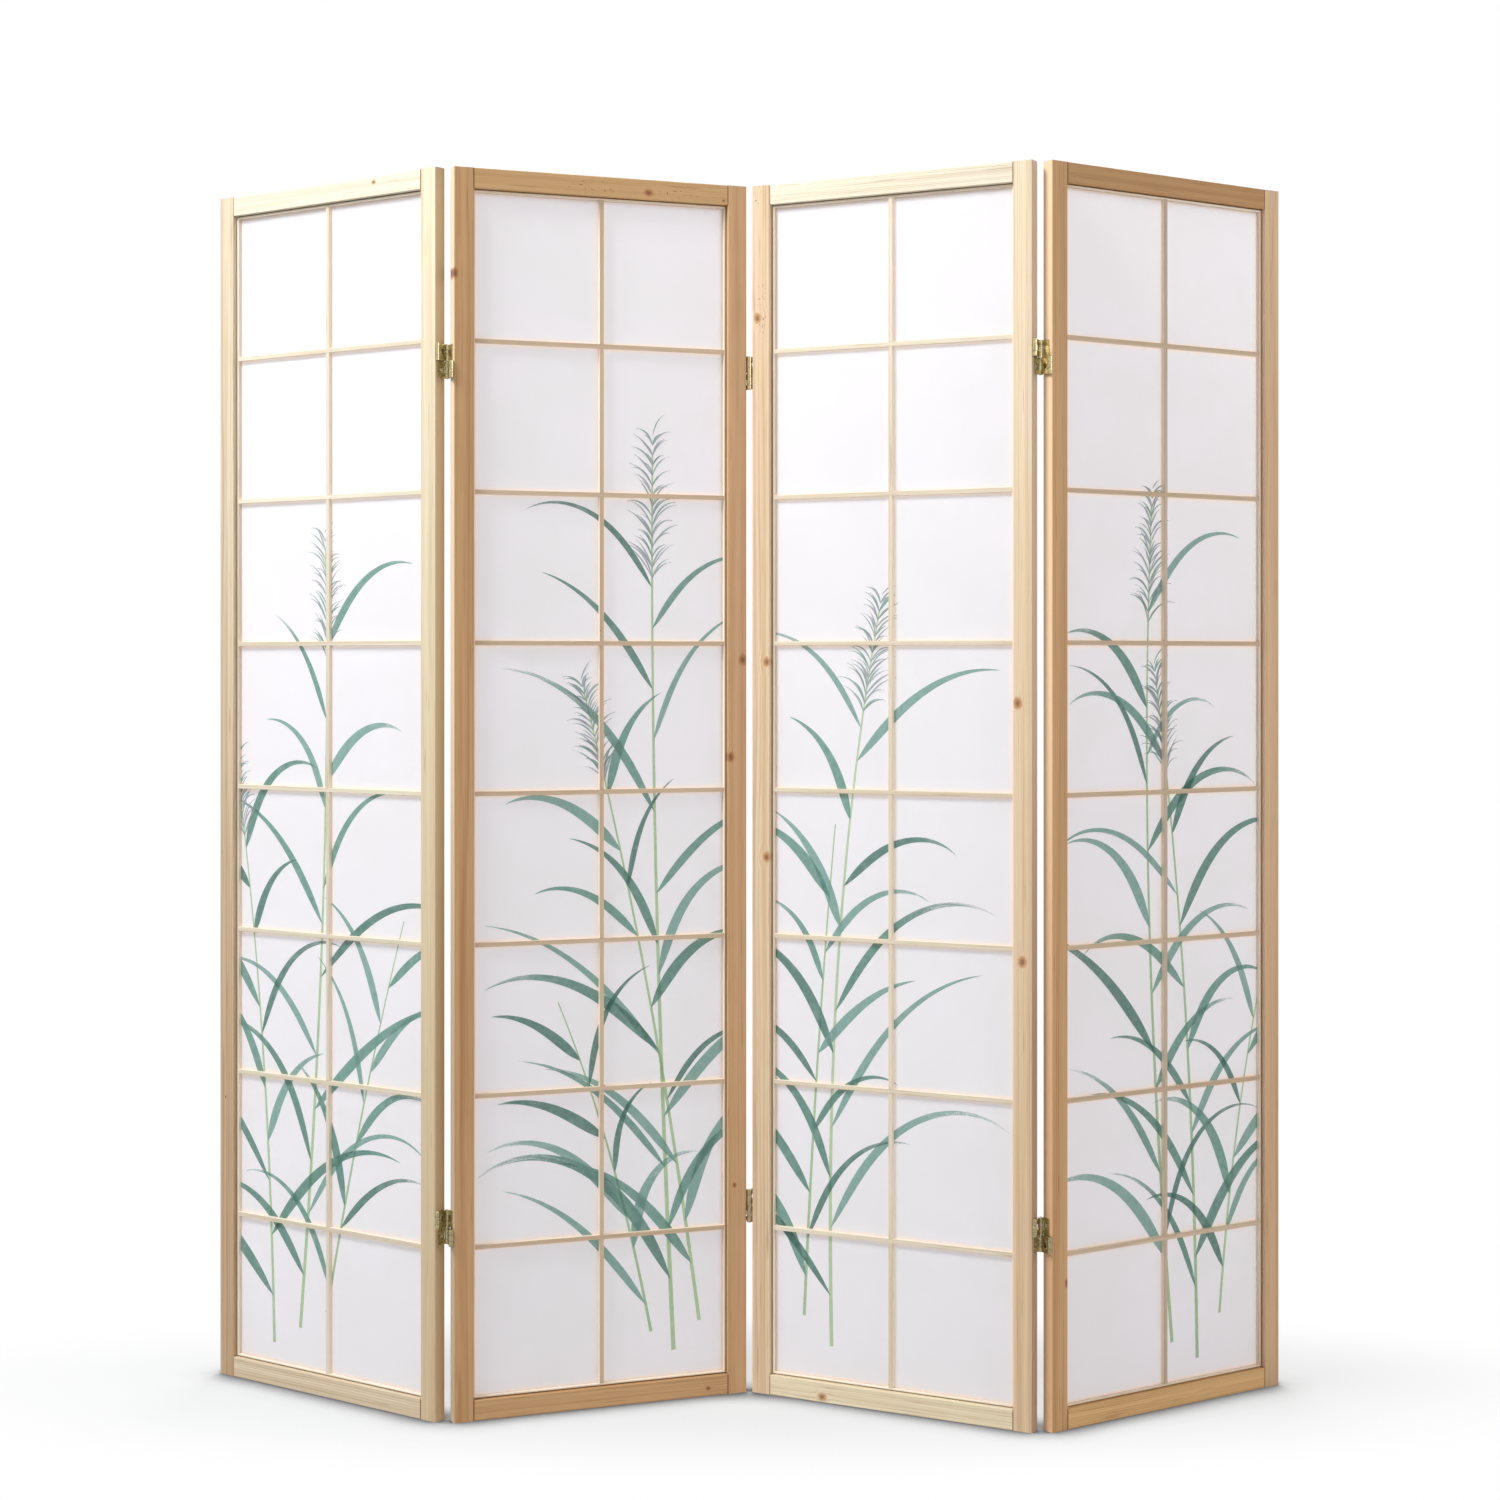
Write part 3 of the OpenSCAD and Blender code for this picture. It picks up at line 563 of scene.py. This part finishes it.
def draw_reed(drawing, foot, height, lean, bend, thick, blades, head, reach):
    """One reed: a slender stem, blades that rise from it to either side, and a feathery head."""
    stem = bent_line(foot, lean, bend, height, stem_steps, 1.3)
    brush_stroke(drawing, stem[:-2], thick, stem_shape, random_brush.choice(stem_inks), (0.7, 0.5),
                 stem_lift)
    for number in range(blades):
        share = lowest_blade + blades_above * (number + random_brush.uniform(0.1, 0.7)) / blades
        at, angle = stem[round(share * stem_steps)]
        side = 1 if number % 2 else -1
        length = reach * random_brush.uniform(0.72, 1.22) * (1.15 - 0.5 * share)
        spread = side * random_brush.uniform(0.30, 0.72)
        droop = side * random_brush.uniform(0.7, 1.9)
        blade = bent_line(at, angle + spread, droop, length, blade_steps, 1.9)
        width = random_brush.uniform(0.0095, 0.0175) * (0.7 + 0.3 * length / reach)
        load = (random_brush.uniform(0.62, 1.0), random_brush.uniform(0.05, 0.45))
        brush_stroke(drawing, blade, width, blade_shape, random_brush.choice(blade_inks), load,
                     blade_lift + next_blade * number)
    if head:
        for number in range(plumes):
            share = number / plumes
            at, angle = stem[round((1 - head_share + head_share * share) * stem_steps)]
            side = 1 if number % 2 else -1
            spread, droop = random_brush.uniform(0.2, 0.6), random_brush.uniform(0.5, 1.7)
            length = random_brush.uniform(0.028, 0.060) * (1.15 - 0.5 * share)
            plume = bent_line(at, angle + side * spread, side * droop, length, plume_steps)
            brush_stroke(drawing, plume, random_brush.uniform(0.0016, 0.0030), feather_shape,
                         random_brush.choice(feather_inks), (0.75, 0.2),
                         plume_lift + next_plume * number)


# Each reed: its foot across and up, height, lean, bend, thickness, number of blades, whether it has
# a head, and the reach of its blades
reeds = {
    1: [((0.160, 0.09), 1.18, 0.10, -0.13, 0.0064, 12, True, 0.30),
        ((0.105, 0.06), 0.90, -0.03, -0.16, 0.0056, 10, True, 0.26),
        ((0.215, 0.12), 0.62, 0.22, 0.10, 0.0048, 8, False, 0.24)],
    2: [((0.335, 0.07), 1.34, -0.05, 0.06, 0.0068, 13, True, 0.32),
        ((0.375, 0.11), 0.96, -0.14, -0.12, 0.0056, 10, True, 0.27),
        ((0.300, 0.10), 0.52, -0.20, -0.20, 0.0046, 7, False, 0.22)],
    3: [((0.125, 0.08), 1.10, -0.02, 0.22, 0.0062, 11, True, 0.30),
        ((0.080, 0.12), 0.74, 0.05, 0.05, 0.0050, 9, False, 0.25)],
    4: [((0.290, 0.06), 1.02, -0.02, -0.15, 0.0064, 11, True, 0.29),
        ((0.240, 0.09), 1.24, -0.10, 0.16, 0.0062, 12, True, 0.28),
        ((0.335, 0.12), 0.60, 0.10, 0.22, 0.0048, 8, False, 0.22)],
}
random_brush = random.Random(31)
for panel, (x, y, turn) in standing.items():
    drawing = bmesh.new()
    drawing.verts.layers.float_color.new("wash")
    drawing.verts.layers.float_vector.new("stroke_uv")
    for reed in reeds[panel]:
        draw_reed(drawing, *reed)
    stroke = drawing.loops.layers.uv.new("stroke")
    stored = drawing.verts.layers.float_vector["stroke_uv"]
    for face in drawing.faces:
        for loop in face.loops:
            loop[stroke].uv = loop.vert[stored][:2]
    edges = (((shown_across[0], 0, 0), (-1, 0, 0)), ((shown_across[1], 0, 0), (1, 0, 0)),
             ((0, 0, shown_up[0]), (0, 0, -1)), ((0, 0, shown_up[1]), (0, 0, 1)))
    for edge, outwards in edges:
        bmesh.ops.bisect_plane(drawing, geom=drawing.verts[:] + drawing.edges[:] + drawing.faces[:],
                               plane_co=edge, plane_no=outwards, clear_outer=True)
    drawing.normal_update()
    bmesh.ops.reverse_faces(drawing, faces=[face for face in drawing.faces if face.normal.y > 0])
    drawing.verts.layers.float_vector.remove(stored)
    drawing.transform(Matrix.Translation((x, y, 0)) @ Matrix.Rotation(math.radians(turn), 4, "Z"))
    data = bpy.data.meshes.new(f"reed_print_{panel}")
    drawing.to_mesh(data)
    drawing.free()
    data.materials.append(reed_ink)
    reed_print = bpy.data.objects.new(f"reed_print_{panel}", data)
    bpy.context.scene.collection.objects.link(reed_print)
    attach(reed_print, f"panel_{panel}")


# Hinges: pressed and rolled steel plated with bright brass, two to a junction, on steel pins.
# Each is a pair of leaves on the stiles' ends with links between, held by two screws a leaf.
def plated_brass(name, bright, tarnish, roughness):
    """Brass plating, a little dull and scratched, and browner where it is handled less."""
    material, tree, end = new_material(name)
    place = add_node(tree, "TexCoord").outputs["Object"]
    dull = add_node(tree, "TexNoise", {"Vector": place, "Scale": 340, "Detail": 5,
                                       "Distortion": 0.3}).outputs[0]
    fine = add_node(tree, "TexNoise", {"Vector": place, "Scale": 1900, "Detail": 2}).outputs[0]
    worn = ramp(tree, dull, 0.34, 0.70)
    colour = blend_colours(tree, worn, bright, tarnish)
    bump = add_node(tree, "Bump", {"Height": reckon(tree, "MULTIPLY_ADD", dull, 1.5, fine),
                                   "Strength": 0.18, "Distance": 0.0002})
    surface = add_node(tree, "BsdfPrincipled", {
        "Base Color": colour, "Metallic": 1.0, "Normal": bump.outputs[0],
        "Roughness": reckon(tree, "MULTIPLY_ADD", worn, 0.16, roughness)})
    tree.links.new(surface.outputs[0], end.inputs["Surface"])
    return material


leaf_brass = plated_brass("leaf_brass", (0.60, 0.52, 0.30), (0.37, 0.30, 0.16), 0.19)
pin_brass = plated_brass("pin_brass", (0.76, 0.68, 0.46), (0.52, 0.44, 0.27), 0.16)
screw_brass = plated_brass("screw_brass", (0.90, 0.85, 0.68), (0.68, 0.60, 0.42), 0.14)
for junction in ("12", "23", "34"):
    for piece in ("left_leaves", "right_leaves", "upper_links", "lower_links"):
        finish_node(f"hinges_{junction}_{piece}", leaf_brass)
    for side in ("left", "right"):
        finish_node(f"hinges_{junction}_{side}_pins", pin_brass)
        finish_node(f"hinges_{junction}_{side}_screws", screw_brass)
